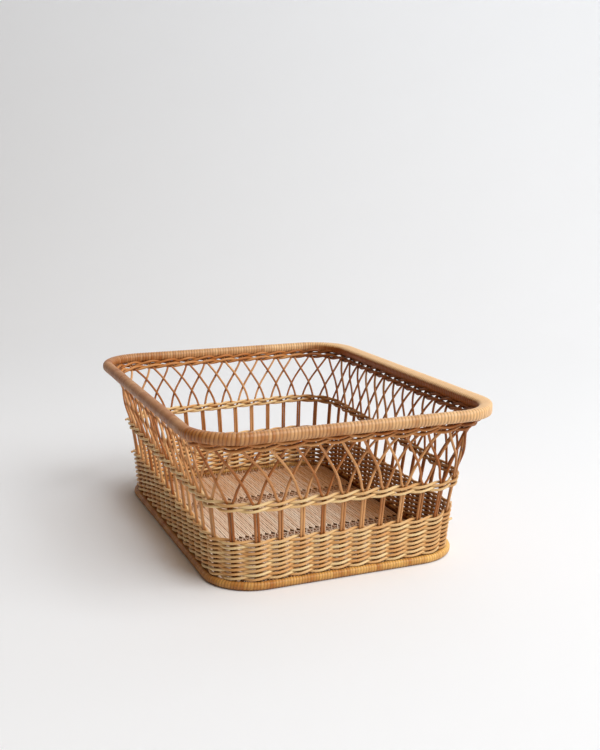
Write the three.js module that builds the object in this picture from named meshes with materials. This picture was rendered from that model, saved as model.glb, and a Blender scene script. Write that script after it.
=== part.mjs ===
import * as THREE from 'three';

// Open rattan laundry basket with a wound rim, lattice walls, twined bands and a woven floor.
// Lengths are millimetres. X runs along the short side, Y along the long side and Z up.
// The origin is on the ground, under the middle of the basket.

// Clear space between pieces that touch on the real basket
const fitGap = 0.3;

// Rim, along the middle of its pole
const rimWidth = 366;
const rimLength = 475.8;
const rimCornerRadius = 57;
const rimHeight = 181.7;
const rimPoleRadius = 5;
const rimBindingRadius = 7;

// Foot, along the middle of its pole
const footWidth = 304.3;
const footLength = 418;
const footCornerRadius = 55;
const footPoleRadius = 3.3;
const footBindingRadius = 4.8;

// Stakes: round canes that stand in pairs and spread into the lattice
const stakeRadius = 1.45;
const stakePitch = 25.45;
const stakeInset = 3.7;
const kneeHeight = 45;

// Twined rows
const rowHalfThickness = 1.2;
const rowPitch = 5.7;
const lowerRows = 9;
const bandRows = 2;
const openBandHeight = 34;
const rimDrop = 18;
// The wall was woven this much higher than level at the back, and lower at the front, half way up
const backClimb = 5.2;

// Floor: close strands along Y, each of them a ridge
const floorThickness = 2.9;
const floorHeight = 2.6;
const strandPitch = 2.88;
const strandRelief = 0.9;
const strandsInGroup = 3;

// Outward spread of the wall, as a share of its whole spread from foot to rim
const kneeSpreadShare = 0.072;
const latticeBaseSpreadShare = 0.298;
const latticeTopSpreadShare = 0.635;
// Bends of a lattice cane: share of the lattice's height, of the cane's lean, and of the wall's spread
const latticeShares = [
  [0.41, 1 / 3, 0.42],
  [0.76, 2 / 3, 0.497],
];

// Each cane leans by half as many pitches as this, and meets its new partner there
const partnerSteps = 3;
// The middle of the front falls half way between two pairs
const firstPair = 1 / 2;
const quarterTurn = Math.PI / 2;

// Flat steps that stand for a quarter turn in plan, and for the round of a pole or its binding
const cornerSteps = 5;
const poleSides = 6;
const bindingSteps = 3;
const footFlatAngle = Math.PI / 10;

// A flat step of a corner lies this far inside the true arc at most
function cornerSag(radius) {
  return radius * (1 - Math.cos(quarterTurn / cornerSteps / 2));
}

// Heights that follow from the sizes above
const footMiddle = footBindingRadius * Math.cos(footFlatAngle);
const footTop = footMiddle + footBindingRadius;
const lowerWeaveBase = footTop + fitGap;
const openBandBase = lowerWeaveBase + lowerRows * rowPitch;
const middleBandBase = openBandBase + openBandHeight;
const latticeBase = middleBandBase + bandRows * rowPitch;
const latticeTop = rimHeight - rimDrop;
const latticeHeight = latticeTop - latticeBase;

// The canes turn round just above the foot pole, and again just below the rim pole
const footSag = cornerSag(footCornerRadius);
const footSeat = footPoleRadius + fitGap;
const stakeSide = stakeInset - stakeRadius - footSag;
const footTurnHeight = footMiddle + Math.max(
  stakeRadius + Math.sqrt(Math.max(0, footSeat ** 2 - (stakeInset - footSag) ** 2)),
  Math.sqrt(Math.max(0, footSeat ** 2 - stakeSide ** 2)),
);
const rimSag = cornerSag(rimCornerRadius);
const wallSpread = (rimWidth - footWidth) / 2 + stakeInset;
const rimSpread = (1 - latticeTopSpreadShare) * wallSpread;
const rimRun = Math.hypot(rimSpread, rimDrop);
const rimTurnShare = 1 - (rimPoleRadius + fitGap + rimSag + stakeRadius) / rimRun;
const rimTurnHeight = latticeTop + rimTurnShare * rimDrop;

// Where the wall's slope or the canes' lean changes, from the foot to the rim
const wallBends = [
  { height: footTurnHeight, spread: 0, lean: 0 },
  { height: kneeHeight, spread: kneeSpreadShare, lean: 0 },
  { height: latticeBase, spread: latticeBaseSpreadShare, lean: 0 },
  ...latticeShares.map(([heightShare, lean, spread]) => (
    { height: latticeBase + heightShare * latticeHeight, spread, lean })),
  { height: latticeTop, spread: latticeTopSpreadShare, lean: 1 },
  {
    height: rimTurnHeight,
    spread: THREE.MathUtils.lerp(latticeTopSpreadShare, 1, rimTurnShare),
    lean: 1,
  },
];

// Rounded rectangle, walked anticlockwise from the middle of the front, with its outward direction
class RoundedPlan {
  constructor({ halfX, halfY, corner }) {
    this.corner = corner;
    this.flatX = halfX - corner;
    this.flatY = halfY - corner;
    this.arc = quarterTurn * corner;
    this.length = 4 * (this.flatX + this.flatY + this.arc);
  }

  // Corner 0 is the right one at the front, and turned is the share of its arc that is walked
  onCorner(number, turned) {
    const angle = (number - 1 + turned) * quarterTurn;
    const out = new THREE.Vector2(Math.cos(angle), Math.sin(angle));
    const right = number === 0 || number === 1;
    const back = number === 1 || number === 2;
    const centre = new THREE.Vector2(right ? this.flatX : -this.flatX, back ? this.flatY : -this.flatY);
    return { point: centre.addScaledVector(out, this.corner), out };
  }

  at(share) {
    let run = THREE.MathUtils.euclideanModulo(share * this.length + this.flatX, this.length);
    for (let number = 0; number < 4; number += 1) {
      const flat = 2 * (number % 2 === 0 ? this.flatX : this.flatY);
      if (run <= flat) {
        const { point, out } = this.onCorner((number + 3) % 4, 1);
        return { point: point.add(new THREE.Vector2(-out.y, out.x).multiplyScalar(run)), out };
      }
      run -= flat;
      if (run <= this.arc) return this.onCorner(number, run / this.arc);
      run -= this.arc;
    }
    return this.onCorner(3, 1);
  }

  // The ends of the straight sides and the steps of the corners between them
  stations() {
    const found = [];
    for (let number = 0; number < 4; number += 1) {
      for (let step = 0; step <= cornerSteps; step += 1) {
        found.push(this.onCorner(number, step / cornerSteps));
      }
    }
    return found;
  }
}

// Plan of the middle of the wall where it has a share of its whole spread
function wallPlan(spread) {
  return new RoundedPlan({
    halfX: THREE.MathUtils.lerp(footWidth / 2 - stakeInset, rimWidth / 2, spread),
    halfY: THREE.MathUtils.lerp(footLength / 2 - stakeInset, rimLength / 2, spread),
    corner: THREE.MathUtils.lerp(footCornerRadius - stakeInset, rimCornerRadius, spread),
  });
}

function planAt(height) {
  const above = wallBends.findIndex((bend) => bend.height >= height);
  const upper = above < 0 ? wallBends.length - 1 : Math.max(1, above);
  const [low, high] = [wallBends[upper - 1], wallBends[upper]];
  return wallPlan(THREE.MathUtils.mapLinear(height, low.height, high.height, low.spread, high.spread));
}

// How far the wall at a height stands above level where it is y behind the middle of the basket
function climb(height, y) {
  const share = (height - footTurnHeight) / (rimTurnHeight - footTurnHeight);
  return backClimb * Math.sin(Math.PI * THREE.MathUtils.clamp(share, 0, 1)) * y / (rimLength / 2);
}

// A place in the middle of the wall, with its outward direction and one pitch of rows up the wall
function wallPlace(share, height) {
  const reach = rowPitch / 2;
  const { point, out: level } = planAt(height).at(share);
  const rise = planAt(height + reach).at(share).point.sub(planAt(height - reach).at(share).point);
  const slope = rise.dot(level) / (2 * reach);
  const pitch = rowPitch + climb(height + reach, point.y) - climb(height - reach, point.y);
  const up = new THREE.Vector3(rise.x, rise.y, 2 * reach).setLength(pitch);
  const out = new THREE.Vector3(level.x, level.y, -slope).normalize();
  return { point: new THREE.Vector3(point.x, point.y, height + climb(height, point.y)), out, up };
}

const openBandMiddle = planAt(openBandBase + openBandHeight / 2);
const pairsInBlock = 2 * partnerSteps;
const stakePairs = pairsInBlock * Math.round(openBandMiddle.length / (pairsInBlock * stakePitch));
const pitchShare = 1 / stakePairs;

function solidFrom(points, indices) {
  const places = points.flatMap((point) => point.toArray());
  const geometry = new THREE.BufferGeometry();
  geometry.setAttribute('position', new THREE.Float32BufferAttribute(places, 3));
  geometry.setIndex(indices);
  return geometry;
}

// Closed ring, or rod with flat ends, through sections that have equal numbers of points
function sweep(sections, closed) {
  const sides = sections[0].length;
  const spans = closed ? sections.length : sections.length - 1;
  const indices = [];
  for (let span = 0; span < spans; span += 1) {
    const next = (span + 1) % sections.length;
    for (let side = 0; side < sides; side += 1) {
      const [a, b] = [span * sides + side, span * sides + (side + 1) % sides];
      const [c, d] = [next * sides + (side + 1) % sides, next * sides + side];
      indices.push(a, b, c, a, c, d);
    }
  }
  if (!closed) {
    const last = (sections.length - 1) * sides;
    for (let side = 1; side < sides - 1; side += 1) {
      indices.push(0, side + 1, side, last, last + side, last + side + 1);
    }
  }
  return solidFrom(sections.flat(), indices);
}

// Ring with one upright outline, in outward and upward distances, round a level plan
function levelRing(plan, height, outline) {
  const sections = plan.stations().map(({ point, out }) => outline.map(([outward, upward]) => (
    new THREE.Vector3(point.x + out.x * outward, point.y + out.y * outward, height + upward)
  )));
  return sweep(sections, true);
}

function arcPoints(radius, from, to, steps) {
  return Array.from({ length: steps + 1 }, (_, step) => {
    const angle = THREE.MathUtils.lerp(from, to, step / steps);
    return [radius * Math.cos(angle), radius * Math.sin(angle)];
  });
}

function poleOutline(radius) {
  return arcPoints(radius, 0, 4 * quarterTurn, poleSides).slice(1).reverse();
}

// Inner face of a binding, wide enough for its flat steps to clear the pole
function innerFace(poleRadius, from, to) {
  const steps = 2 * bindingSteps;
  const radius = (poleRadius + fitGap) / Math.cos((to - from) / steps / 2);
  return arcPoints(radius, from, to, steps);
}

const rimPlan = new RoundedPlan({ halfX: rimWidth / 2, halfY: rimLength / 2, corner: rimCornerRadius });
const footPlan = new RoundedPlan({ halfX: footWidth / 2, halfY: footLength / 2, corner: footCornerRadius });

function rimPole() {
  return levelRing(rimPlan, rimHeight, poleOutline(rimPoleRadius));
}

// Cane wound round the rim pole, as a shell with a slot below where the stakes go in
function rimBinding() {
  const wallAngle = -quarterTurn - Math.atan2(rimSpread, rimDrop);
  const halfSlot = Math.asin((stakeRadius + fitGap + rimSag) / (rimPoleRadius + fitGap));
  const from = wallAngle + halfSlot;
  const to = wallAngle - halfSlot + 4 * quarterTurn;
  return levelRing(rimPlan, rimHeight, [
    ...innerFace(rimPoleRadius, from, to),
    ...arcPoints(rimBindingRadius, to, quarterTurn, bindingSteps + 1),
    ...arcPoints(rimBindingRadius, quarterTurn, 0, bindingSteps).slice(1),
    ...arcPoints(rimBindingRadius, 0, from, bindingSteps).slice(1),
  ]);
}

function footPole() {
  return levelRing(footPlan, footMiddle, poleOutline(footPoleRadius));
}

// Cane wound round the foot pole, flat where it stands, with a slot above for the stakes
function footBinding() {
  const bottom = 3 * quarterTurn;
  const seat = footTurnHeight - stakeRadius - footMiddle;
  const from = quarterTurn + Math.atan2(stakeInset, seat) + Math.asin(fitGap / Math.hypot(stakeInset, seat));
  const to = quarterTurn + Math.asin((stakeSide - fitGap) / footBindingRadius) + 4 * quarterTurn;
  return levelRing(footPlan, footMiddle, [
    ...innerFace(footPoleRadius, from, to),
    ...arcPoints(footBindingRadius, to, 4 * quarterTurn, bindingSteps),
    ...arcPoints(footBindingRadius, 4 * quarterTurn, bottom + footFlatAngle, bindingSteps - 1).slice(1),
    ...arcPoints(footBindingRadius, bottom - footFlatAngle, from, bindingSteps),
  ]);
}

// Half the floor's length at a distance from its middle line, inside the foot's flat corner steps
function floorReach(x) {
  const edge = footBindingRadius + fitGap + footSag;
  const corner = footCornerRadius - edge;
  const inside = Math.max(0, Math.abs(x) - (footWidth / 2 - footCornerRadius));
  return footLength / 2 - footCornerRadius + Math.sqrt(Math.max(0, corner ** 2 - inside ** 2));
}

// Woven panel: its strands are ridges on top, and the flat underside has one strip to a group of them
function floorPanel() {
  const halfWidth = footWidth / 2 - footBindingRadius - fitGap - footSag;
  const groups = Math.round(2 * halfWidth / (strandsInGroup * strandPitch));
  const linesInGroup = 2 * strandsInGroup;
  const lines = groups * linesInGroup;
  const edges = (count, heightOf) => Array.from({ length: count + 1 }, (_, line) => {
    const x = halfWidth * (2 * line / count - 1);
    return [-1, 1].map((side) => new THREE.Vector3(x, side * floorReach(x), heightOf(line)));
  });
  const top = edges(lines, (line) => floorHeight + floorThickness - (line % 2 === 0 ? strandRelief : 0));
  const bottom = edges(groups, () => floorHeight);
  const under = (group, side) => top.length * 2 + group * 2 + side;
  const indices = [];
  const quad = (a, b, c, d) => indices.push(a, b, c, a, c, d);
  for (let line = 0; line < lines; line += 1) {
    const group = Math.floor(line / linesInGroup);
    const [front, back, nextFront, nextBack] = [2 * line, 2 * line + 1, 2 * line + 2, 2 * line + 3];
    quad(front, nextFront, nextBack, back);
    indices.push(under(group, 0), nextFront, front, under(group, 1), back, nextBack);
  }
  for (let group = 0; group < groups; group += 1) {
    const end = 2 * (group + 1) * linesInGroup;
    quad(under(group, 0), under(group, 1), under(group + 1, 1), under(group + 1, 0));
    indices.push(under(group, 0), under(group + 1, 0), end, under(group, 1), end + 1, under(group + 1, 1));
  }
  quad(0, 1, under(0, 1), under(0, 0));
  quad(2 * lines + 1, 2 * lines, under(groups, 0), under(groups, 1));
  return solidFrom([...top, ...bottom].flat(), indices);
}

const pairHalf = stakeRadius + fitGap / 2;
const layerHalf = stakeRadius + fitGap / 2;

// One leg of a pair from foot to rim: side is -1 for the outer leg, which leans left, and 1 for the inner one
function leg(pair, side) {
  const wholeLean = partnerSteps / 2 * pitchShare;
  return wallBends.map(({ height, lean }) => {
    const aside = pairHalf / planAt(height).length;
    const shift = THREE.MathUtils.clamp(lean * wholeLean, aside, wholeLean - aside);
    const { point, out } = wallPlace((pair + firstPair) * pitchShare + side * shift, height);
    const layer = lean < 1 ? layerHalf * Math.min(1, lean * partnerSteps) : 0;
    return { point: point.addScaledVector(out, -side * layer), out };
  });
}

// Round cane, drawn with four sides, through bends that are mitred
function cane(bends) {
  const sections = bends.map(({ point, out }, index) => {
    const arriving = point.clone().sub(bends[Math.max(0, index - 1)].point).normalize();
    const leaving = bends[Math.min(bends.length - 1, index + 1)].point.clone().sub(point).normalize();
    const along = arriving.clone().add(leaving).normalize();
    const across = along.clone().cross(out).normalize();
    const square = across.clone().cross(along);
    const mitre = Math.max(along.dot(arriving), along.dot(leaving));
    return [
      point.clone().addScaledVector(square, stakeRadius),
      point.clone().addScaledVector(across, stakeRadius / mitre),
      point.clone().addScaledVector(square, -stakeRadius),
      point.clone().addScaledVector(across, -stakeRadius / mitre),
    ];
  });
  return sweep(sections, false);
}

// One long cane bent double: it makes two pairs, and passes under the rim pole between them
function stakeCane(pair) {
  const partner = pair + partnerSteps;
  return cane([
    ...leg(pair, -1).reverse(),
    ...leg(pair, 1),
    ...leg(partner, -1).reverse(),
    ...leg(partner, 1),
  ]);
}

// How far a row stands off the middle of the wall so that it clears the pairs, at corners too
function rowReach(plan) {
  const pitch = plan.length * pitchShare;
  const clear = stakeRadius + rowHalfThickness + fitGap;
  return (clear + pairHalf * pitch / (2 * plan.corner)) / (1 - 2 * pairHalf / pitch);
}

// Ring that passes in front of every second pair and behind the others, from the first of them
function wovenRing(height, phase, first) {
  const reach = rowReach(planAt(height));
  const halfHeightShare = (rowPitch - fitGap) / rowPitch / 2;
  const sections = Array.from({ length: stakePairs }, (_, pair) => {
    const { point, out, up } = wallPlace((pair + first) * pitchShare, height);
    const side = (pair + phase) % 2 === 0 ? reach : -reach;
    const corners = [[-1, -1], [-1, 1], [1, 1], [1, -1]];
    return corners.map(([outward, upward]) => point.clone()
      .addScaledVector(out, side + outward * rowHalfThickness)
      .addScaledVector(up, upward * halfHeightShare));
  });
  return sweep(sections, true);
}

const paint = {
  rim: new THREE.MeshStandardMaterial({ color: '#cf9a5f', roughness: 0.55, metalness: 0 }),
  pole: new THREE.MeshStandardMaterial({ color: '#b98850', roughness: 0.7, metalness: 0 }),
  foot: new THREE.MeshStandardMaterial({ color: '#cfa05c', roughness: 0.6, metalness: 0 }),
  stake: new THREE.MeshStandardMaterial({ color: '#b97b48', roughness: 0.6, metalness: 0 }),
  weave: new THREE.MeshStandardMaterial({ color: '#d9b27c', roughness: 0.6, metalness: 0 }),
  floor: new THREE.MeshStandardMaterial({ color: '#c9a377', roughness: 0.65, metalness: 0 }),
};

const basket = new THREE.Group();

function add(name, geometry, material) {
  const mesh = new THREE.Mesh(geometry, material.clone());
  mesh.name = name;
  basket.add(mesh);
}

// Rows one above another, each on the other side of the pairs than the one below
function addRows(name, count, base, rise, first) {
  for (let row = 0; row < count; row += 1) {
    add(`${name}_${row + 1}`, wovenRing(base + (row + 1 / 2) * rise, row, first), paint.weave);
  }
}

add('rim_pole', rimPole(), paint.pole);
add('rim_binding', rimBinding(), paint.rim);
add('foot_pole', footPole(), paint.pole);
add('foot_binding', footBinding(), paint.foot);
add('floor_panel', floorPanel(), paint.floor);

for (let count = 0; count < stakePairs / 2; count += 1) {
  const block = Math.floor(count / partnerSteps);
  const name = `stake_cane_${String(count + 1).padStart(2, '0')}`;
  add(name, stakeCane(block * pairsInBlock + count % partnerSteps), paint.stake);
}

// The upper band holds the new pairs, half a pitch aside, and climbs less because the wall flares there
const flareSpread = (1 - latticeTopSpreadShare) * Math.min(rimWidth - footWidth, rimLength - footLength) / 2;
const flareRise = rowPitch * rimDrop / Math.hypot(flareSpread, rimDrop);
addRows('lower_row', lowerRows, lowerWeaveBase, rowPitch, firstPair);
addRows('middle_row', bandRows, middleBandBase, rowPitch, firstPair);
addRows('upper_row', bandRows, latticeTop + fitGap, flareRise, firstPair + partnerSteps / 2);

export default basket;
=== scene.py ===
import math
import random
from bisect import bisect

import bpy
from mathutils import Matrix, Vector


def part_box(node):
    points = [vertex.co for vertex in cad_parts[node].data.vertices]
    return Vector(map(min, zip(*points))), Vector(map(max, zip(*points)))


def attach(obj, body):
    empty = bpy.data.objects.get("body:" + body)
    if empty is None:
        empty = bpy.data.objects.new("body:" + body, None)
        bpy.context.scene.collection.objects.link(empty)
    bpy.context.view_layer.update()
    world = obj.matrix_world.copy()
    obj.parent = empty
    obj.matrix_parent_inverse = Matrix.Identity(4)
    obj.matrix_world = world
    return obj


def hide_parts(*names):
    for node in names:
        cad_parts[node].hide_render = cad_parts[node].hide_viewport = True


bl_info = {
    "name": "Rattan laundry basket",
    "version": (1, 0, 0),
    "blender": (4, 5, 0),
    "location": "3D View > Sidebar > Basket",
    "description": "Weaves an open rattan basket round its solid model",
    "category": "Add Mesh",
}

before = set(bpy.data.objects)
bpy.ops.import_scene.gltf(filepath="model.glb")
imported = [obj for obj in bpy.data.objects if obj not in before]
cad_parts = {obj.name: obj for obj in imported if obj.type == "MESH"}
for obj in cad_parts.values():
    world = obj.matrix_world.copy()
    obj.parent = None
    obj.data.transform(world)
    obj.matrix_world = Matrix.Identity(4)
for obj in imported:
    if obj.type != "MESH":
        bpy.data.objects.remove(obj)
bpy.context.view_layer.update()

MM = 0.001
FULL_TURN = 2 * math.pi

# Heights of the wall in the solid model, from the ground up
FOOT_TURN = 7.97 * MM
KNEE = 45 * MM
LOWER_WEAVE = 9.67 * MM
MIDDLE_BAND = 94.97 * MM
LATTICE_BASE = 106.37 * MM
FIRST_CROSSING = 129.87 * MM
SECOND_CROSSING = 149.94 * MM
LATTICE_TOP = 163.7 * MM
UPPER_BAND = 165.4 * MM
RIM_TURN = 175.6 * MM
RIM_HEIGHT = 181.7 * MM

# The wall is this much higher than level at the back, and lower at the front, half way up
BACK_CLIMB = 5.2 * MM

# Outward spread of the wall at its bends, as a share of its whole spread
SPREADS = ((FOOT_TURN, 0), (KNEE, 0.072), (LATTICE_BASE, 0.298), (FIRST_CROSSING, 0.42),
           (SECOND_CROSSING, 0.497), (LATTICE_TOP, 0.635), (RIM_HEIGHT, 1))

# Sideways lean of a cane, as a share of its whole lean: it starts inside the middle band
LEANS = ((100.7 * MM, 0), (106.4 * MM, 0.08), (117.3 * MM, 0.18), (FIRST_CROSSING, 1 / 3),
         (SECOND_CROSSING, 2 / 3), (LATTICE_TOP, 0.91), (169.5 * MM, 1))

# Share of the bands' climb toward the back that the lattice's crossings don't follow
LATTICE_LAG = 0.7

# How far right of their even places the pairs stand on the front, by the place along it
FRONT_SHIFTS = ((-150 * MM, 0), (-75 * MM, 6 * MM), (-20 * MM, 4.5 * MM), (60 * MM, 1.3 * MM),
                (150 * MM, 0))

# How far apart the outer and the inner canes lie, as a share of a cane's thickness
LAYERS = ((LATTICE_BASE, 0), (FIRST_CROSSING, 1), (SECOND_CROSSING, 1), (LATTICE_TOP, 0.35), (RIM_TURN, 0))

PAIRS = 54
# The middle of the front falls half way between two pairs
FIRST_PAIR = 0.5
# The canes that meet below the rim come from pairs this many places apart
PARTNER_STEPS = 3
LOWER_ROWS = 9
BAND_ROWS = 2

# Sides of a round cane's mesh
CANE_SIDES = 8


def linear(hex_colour):
    """Linear colour of an sRGB hex value."""
    shades = [int(hex_colour[i:i + 2], 16) / 255 for i in (1, 3, 5)]
    return tuple(s / 12.92 if s <= 0.04045 else ((s + 0.055) / 1.055) ** 2.4 for s in shades)


def length(name, description, default):
    return bpy.props.FloatProperty(
        name=name, description=description, default=default, unit="LENGTH", precision=5)


def colour(name, description, hex_colour):
    return bpy.props.FloatVectorProperty(
        name=name, description=description, default=linear(hex_colour), subtype="COLOR",
        size=3, min=0, max=1)


class BasketSizes(bpy.types.PropertyGroup):
    """Sizes of the canes and of the weave"""
    rim_radius: length("Rim radius", "Outside of the cane wound round the rim", 7 * MM)
    rim_turn: length("Rim turn", "Width of one turn of cane on the rim", 4.1 * MM)
    rim_crown: length("Rim crown", "Middle of a turn above its edges on the rim", 0.5 * MM)
    rim_corner: length("Rim corner", "Corner radius along the middle of the rim", 57 * MM)
    foot_radius: length("Foot radius", "Outside of the cane wound round the foot", 4.8 * MM)
    foot_turn: length("Foot turn", "Width of one turn of cane on the foot", 3.45 * MM)
    foot_crown: length("Foot crown", "Middle of a turn above its edges on the foot", 0.45 * MM)
    foot_corner: length("Foot corner", "Corner radius along the middle of the foot", 55 * MM)
    stake_radius: length("Stake radius", "Radius of the canes in pairs and lattice", 1.52 * MM)
    stake_inset: length("Stake inset", "Stakes inside the middle of the foot", 3.7 * MM)
    weaver_radius: length("Weaver radius", "Radius of the twined canes", 1.68 * MM)
    upper_radius: length("Upper weaver radius", "Radius of the canes below the rim", 1.95 * MM)
    row_pitch: length("Row pitch", "Height of one twined row", 5.7 * MM)
    flare_pitch: length("Flared row pitch", "Height of one twined row below the rim", 5.6 * MM)
    gap: length("Gap", "Space between two canes of a pair", 0.06 * MM)
    strand_width: length("Floor strand", "Width that one strand of the floor takes", 2.88 * MM)
    strand_dip: length("Floor strand dip", "How far a strand dips under a cross cane", 0.8 * MM)
    cross_pitch: length("Floor cross pitch", "Distance between the floor's cross canes", 8.5 * MM)


class BasketColours(bpy.types.PropertyGroup):
    """Colours of the canes"""
    rim: colour("Rim", "Cane skin on the rim", "#FFD096")
    rim_deep: colour("Rim, deep", "Browner turns on the rim", "#AE6424")
    foot: colour("Foot", "Cane skin on the foot", "#F8C46F")
    foot_deep: colour("Foot, deep", "Browner turns on the foot", "#BA7230")
    stake: colour("Stakes", "Round canes of the wall", "#EBB074")
    stake_deep: colour("Stakes, deep", "Redder canes of the wall", "#B0682F")
    weaver: colour("Weavers", "Pale twined canes", "#FFE0A6")
    weaver_deep: colour("Weavers, deep", "Browner twined canes", "#E9AE6C")
    # The upper weavers' colours are browner to paint the shade under the rim
    under_rim_shade: colour("Upper weavers", "Twined canes below the rim", "#F0B878")
    under_rim_shade_deep: colour("Upper weavers, deep", "Browner twined canes below the rim", "#C57A3A")
    floor: colour("Floor", "Pale strands of the floor", "#FFEBD4")
    floor_deep: colour("Floor, deep", "Browner strands of the floor", "#D99A5E")
    pole: colour("Poles", "Bare poles under the wound cane", "#B98850")
    ground: colour("Ground", "Floor and backdrop of the picture", "#F3F5F8")


def smooth(knots, x):
    """Height of an even curve through the knots, level beyond them."""
    places = [knot[0] for knot in knots]
    if x <= places[0]:
        return knots[0][1]
    if x >= places[-1]:
        return knots[-1][1]
    low = bisect(places, x) - 1

    def rise(index):
        (x0, y0), (x1, y1) = knots[index], knots[index + 1]
        return (y1 - y0) / (x1 - x0)

    def slope(index):
        if index in (0, len(knots) - 1):
            return rise(min(index, len(knots) - 2))
        before, after = rise(index - 1), rise(index)
        return 0 if before * after <= 0 else 2 * before * after / (before + after)

    (x0, y0), (x1, y1) = knots[low], knots[low + 1]
    span = x1 - x0
    t = (x - x0) / span
    return ((1 + 2 * t) * (1 - t) ** 2 * y0 + t * (1 - t) ** 2 * span * slope(low)
            + t * t * (3 - 2 * t) * y1 - t * t * (1 - t) * span * slope(low + 1))


class Plan:
    """Rounded rectangle, walked anticlockwise from the middle of the front."""

    def __init__(self, half_x, half_y, corner):
        self.corner = corner
        self.flat_x = half_x - corner
        self.flat_y = half_y - corner
        self.arc = corner * math.pi / 2
        self.length = 4 * (self.flat_x + self.flat_y + self.arc)

    def at(self, share):
        """Point and outward direction at a share of the way round."""
        run = (share * self.length + self.flat_x) % self.length
        centres = ((1, -1), (1, 1), (-1, 1), (-1, -1))
        for number, (side_x, side_y) in enumerate(centres):
            flat = 2 * (self.flat_x if number % 2 == 0 else self.flat_y)
            turned = (number - 1) * math.pi / 2
            back = 0
            if run > flat:
                run -= flat
                if run > self.arc:
                    run -= self.arc
                    continue
                turned += run / self.corner
            else:
                back = flat - run
            out = Vector((math.cos(turned), math.sin(turned)))
            along = Vector((-out.y, out.x))
            centre = Vector((side_x * self.flat_x, side_y * self.flat_y))
            return centre + self.corner * out - back * along, out
        return self.at(0)


class Wall:
    """The middle of the basket's wall, from which every cane is placed."""

    def __init__(self, sizes):
        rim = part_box("rim_binding")[1]
        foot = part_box("foot_binding")[1]
        inset = sizes.foot_radius + sizes.stake_inset
        self.low = (foot.x - inset, foot.y - inset, sizes.foot_corner - sizes.stake_inset)
        self.high = (rim.x - sizes.rim_radius, rim.y - sizes.rim_radius, sizes.rim_corner)

    def plan(self, height):
        spread = smooth(SPREADS, height)
        return Plan(*(low + (high - low) * spread for low, high in zip(self.low, self.high)))

    def climb(self, height, y):
        """How far the wall stands above level at a height, y behind the middle of the basket."""
        share = min(1, max(0, (height - FOOT_TURN) / (RIM_TURN - FOOT_TURN)))
        return BACK_CLIMB * math.sin(math.pi * share) * y / self.high[1]

    def place(self, share, height, outward=0.0, upward=0.0):
        """A point beside the wall's middle, in the wall's own outward and upward directions."""
        length = self.plan(height).length
        along = ((share + 0.5) % 1 - 0.5) * length
        share += smooth(FRONT_SHIFTS, along) / length
        point, out = self.plan(height).at(share)
        above, _ = self.plan(height + MM).at(share)
        below, _ = self.plan(height - MM).at(share)
        slope = (above - below).dot(out) / (2 * MM)
        stretch = 1 + (self.climb(height + MM, point.y) - self.climb(height - MM, point.y)) / (2 * MM)
        square = Vector((out.x, out.y, -slope)).normalized()
        rise = Vector((out.x * slope, out.y * slope, 1)).normalized() * stretch
        middle = Vector((point.x, point.y, height + self.climb(height, point.y)))
        return middle + outward * square + upward * rise


def slow_waves(draw, number, fewest, most, least, greatest):
    """Waves round the basket: the crests, phase and height of each."""
    return [(draw.randint(fewest, most), draw.uniform(0, FULL_TURN), draw.uniform(least, greatest))
            for _ in range(number)]


def wave_height(waves, turn):
    return sum(size * math.sin(crests * turn + phase) for crests, phase, size in waves)


def point_attribute(mesh, name, values):
    """Gives each vertex a number, or three of them."""
    single = len(values) == len(mesh.vertices)
    attribute = mesh.attributes.new(name, "FLOAT" if single else "FLOAT_VECTOR", "POINT")
    attribute.data.foreach_set("value" if single else "vector", values)


def cane_piece(name, routes, radius, closed, seed, sides=CANE_SIDES):
    """Round canes along the routes, drawn as bevelled curves and made one mesh.

    Each route is a list of (point, thickness share) pairs.
    """
    bpy.ops.object.select_all(action="DESELECT")
    bpy.ops.curve.primitive_nurbs_path_add(location=(0, 0, 0))
    piece = bpy.context.object
    piece.name = name
    curve = piece.data
    curve.splines.clear()
    for route in routes:
        spline = curve.splines.new("POLY")
        spline.points.add(len(route) - 1)
        for point, (place, share) in zip(spline.points, route):
            point.co = (*place, 1)
            point.radius = share
        spline.use_cyclic_u = closed
    curve.twist_mode = "Z_UP" if closed else "MINIMUM"
    curve.bevel_depth = radius
    curve.bevel_resolution = (sides - 4) // 2
    bpy.ops.object.convert(target="MESH")
    piece = bpy.context.object
    if not closed:
        bpy.ops.object.mode_set(mode="EDIT")
        bpy.ops.mesh.select_all(action="SELECT")
        bpy.ops.mesh.fill_holes(sides=sides)
        bpy.ops.object.mode_set(mode="OBJECT")
    bpy.ops.object.shade_smooth()
    grain_attributes(piece, routes, radius, sides, seed)
    return piece


# Painted shade on the inside of the right wall, which faces away from the window: where the right wall
# begins, and over what run the shade sets in
SHADE_SIDE_START = 100 * MM
SHADE_SIDE_RUN = 35 * MM
# How far out that painted shade reaches on a cane, in radii, its tone past the deep colour, and how dark it
# is
SHADE_SIDE_REACH = 0.85
SHADE_SIDE_TONE = 1.3
SHADE_SIDE_DARKNESS = 0.6


def painted_shade_inside(piece, routes, radius, strength):
    """Painted shade on the inside of the right wall, which faces away from the window: a browner tone and a
    darker shade.
    """
    vertices = piece.data.vertices
    tones = piece.data.attributes["tone"].data
    shades = []
    for route in routes:
        for place, _ in route:
            in_shade = min(1, max(0, (place.x - SHADE_SIDE_START) / SHADE_SIDE_RUN))
            for _ in range(CANE_SIDES):
                number = len(shades)
                offset = (vertices[number].co.x - place.x) / radius
                brown = strength * in_shade * min(1, max(0, SHADE_SIDE_REACH - offset))
                tones[number].value += brown * (SHADE_SIDE_TONE - tones[number].value)
                shades.append(SHADE_SIDE_DARKNESS * brown)
    point_attribute(piece.data, "shade", shades)


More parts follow.
